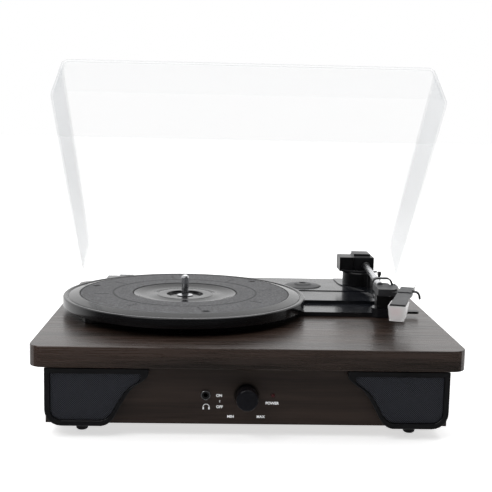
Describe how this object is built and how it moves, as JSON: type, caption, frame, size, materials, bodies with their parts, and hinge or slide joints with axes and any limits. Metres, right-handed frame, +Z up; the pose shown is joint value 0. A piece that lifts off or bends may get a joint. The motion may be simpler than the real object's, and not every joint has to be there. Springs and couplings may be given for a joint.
{
  "type": "turntable record player",
  "caption": "Record player with a belt-driven platter, a straight tonearm on a lift, built-in front speakers, front controls and a hinged clear dust cover.",
  "frame": {"origin": "centre of the whole footprint, on the surface the feet stand on", "axes": "+X to the right along the front, +Y to the back where the cover hinges, +Z up"},
  "size_m": [0.355, 0.3314, 0.3104],
  "materials": {
    "walnut": "dark stained walnut veneer, satin",
    "board_brown": "dark stained board",
    "rubber": "matt black rubber",
    "black_plastic": "satin black moulding",
    "mesh_black": "perforated sheet, painted black",
    "steel": "plain steel",
    "green_board": "circuit board lacquer",
    "gloss_black": "gloss black moulding",
    "mat_grey": "speckled dark grey slip mat",
    "brass": "turned brass",
    "nylon": "natural nylon",
    "clear_cover": "clear acrylic",
    "hinge_clear": "clear moulding",
    "guard_white": "translucent white moulding",
    "stylus_red": "red moulding"
  },
  "bodies": {
    "cabinet": {"top_board": "walnut", "front_panel": "walnut", "side_panel_left": "walnut", "side_panel_right": "walnut", "back_panel": "board_brown", "bottom_panel": "board_brown", "foot_front_left": "rubber", "foot_front_right": "rubber", "foot_rear_left": "rubber", "foot_rear_right": "rubber", "speaker_frame_left": "black_plastic", "speaker_frame_right": "black_plastic", "speaker_grille_left": "mesh_black", "speaker_grille_right": "mesh_black", "speaker_driver_left": "steel", "speaker_driver_right": "steel", "circuit_board": "green_board", "potentiometer": "black_plastic", "power_led": "black_plastic", "headphone_jack": "black_plastic", "jack_nut": "steel", "dc_inlet": "black_plastic", "line_out_left": "black_plastic", "line_out_right": "black_plastic", "deck_plate": "gloss_black", "motor": "steel", "spindle": "steel", "spindle_bush": "brass", "spindle_clip": "steel", "thrust_washer": "nylon", "drive_belt": "rubber", "arm_pedestal": "black_plastic", "arm_rest": "black_plastic", "hinge_bracket_left": "hinge_clear", "hinge_bracket_right": "hinge_clear", "hinge_pin_left": "steel", "hinge_pin_right": "steel"},
    "cover": {"dust_cover": "clear_cover", "hinge_leaf_left": "hinge_clear", "hinge_leaf_right": "hinge_clear"},
    "platter": {"platter": "gloss_black", "platter_mat": "mat_grey"},
    "pulley": {"motor_pulley": "brass", "motor_shaft": "steel"},
    "volume": {"volume_knob": "black_plastic", "volume_shaft": "steel"},
    "arm_turn": {"arm_yoke": "black_plastic", "tilt_pin": "steel"},
    "arm": {"arm_housing": "black_plastic", "arm_tube": "steel", "arm_elbow": "gloss_black", "headshell": "gloss_black", "cartridge": "black_plastic", "stylus": "stylus_red"},
    "lift_lever": {"cue_lever": "black_plastic"},
    "lift_platform": {"cue_platform": "black_plastic"},
    "clip": {"arm_clip": "black_plastic"},
    "guard": {"stylus_guard": "guard_white"},
    "selector": {"speed_selector": "black_plastic"},
    "adapter": {"adapter_45": "black_plastic"}
  },
  "joints": [
    {"name": "cover_hinge", "type": "hinge", "parent": "cabinet", "child": "cover", "pos_m": [0, 0.14269, 0.0832], "axis": [-1, 0, 0], "range_deg": [-45.4, 20]},
    {"name": "platter_spin", "type": "hinge", "parent": "cabinet", "child": "platter", "pos_m": [-0.057, -0.00911, 0.084], "axis": [0, 0, 1], "continuous": true},
    {"name": "pulley_spin", "type": "hinge", "parent": "cabinet", "child": "pulley", "pos_m": [0.0024, 0.05029, 0.0845], "axis": [0, 0, 1], "continuous": true},
    {"name": "volume_turn", "type": "hinge", "parent": "cabinet", "child": "volume", "pos_m": [-0.0011, -0.16571, 0.0354], "axis": [0, 1, 0], "range_deg": [0, 300]},
    {"name": "arm_swing", "type": "hinge", "parent": "cabinet", "child": "arm_turn", "pos_m": [0.1265, 0.09469, 0.1004], "axis": [0, 0, -1], "range_deg": [0, 44]},
    {"name": "arm_lift", "type": "hinge", "parent": "arm_turn", "child": "arm", "pos_m": [0.1265, 0.09469, 0.1085], "axis": [-1, 0, 0], "range_deg": [0, 1]},
    {"name": "cue_lever", "type": "hinge", "parent": "cabinet", "child": "lift_lever", "pos_m": [0.1425, 0.07969, 0.091], "axis": [1, 0, 0], "range_deg": [0, 30.1]},
    {"name": "cue_platform", "type": "slide", "parent": "cabinet", "child": "lift_platform", "axis": [0, 0, 1], "range_m": [0, 0.0005]},
    {"name": "clip_hinge", "type": "hinge", "parent": "cabinet", "child": "clip", "pos_m": [0.1401, -0.03231, 0.1064], "axis": [0, 1, 0], "range_deg": [0, 105]},
    {"name": "guard_slide", "type": "slide", "parent": "arm", "child": "guard", "axis": [-0.3077, -0.9515, -0.0049], "range_m": [0, 0.025]},
    {"name": "speed_select", "type": "hinge", "parent": "cabinet", "child": "selector", "pos_m": [0.143, -0.02731, 0.0806], "axis": [0, 0, 1], "range_deg": [-10, 10]},
    {"name": "adapter_lift", "type": "slide", "parent": "cabinet", "child": "adapter", "axis": [0, 0, 1], "range_m": [0, 0.03]}
  ],
  "couplings": [
    {"joint": "pulley_spin", "follows": "platter_spin", "ratio": 12.727},
    {"joint": "cue_lever", "follows": "arm_lift", "ratio": 30},
    {"joint": "cue_platform", "follows": "arm_lift", "m_per_rad": 0.0277}
  ]
}
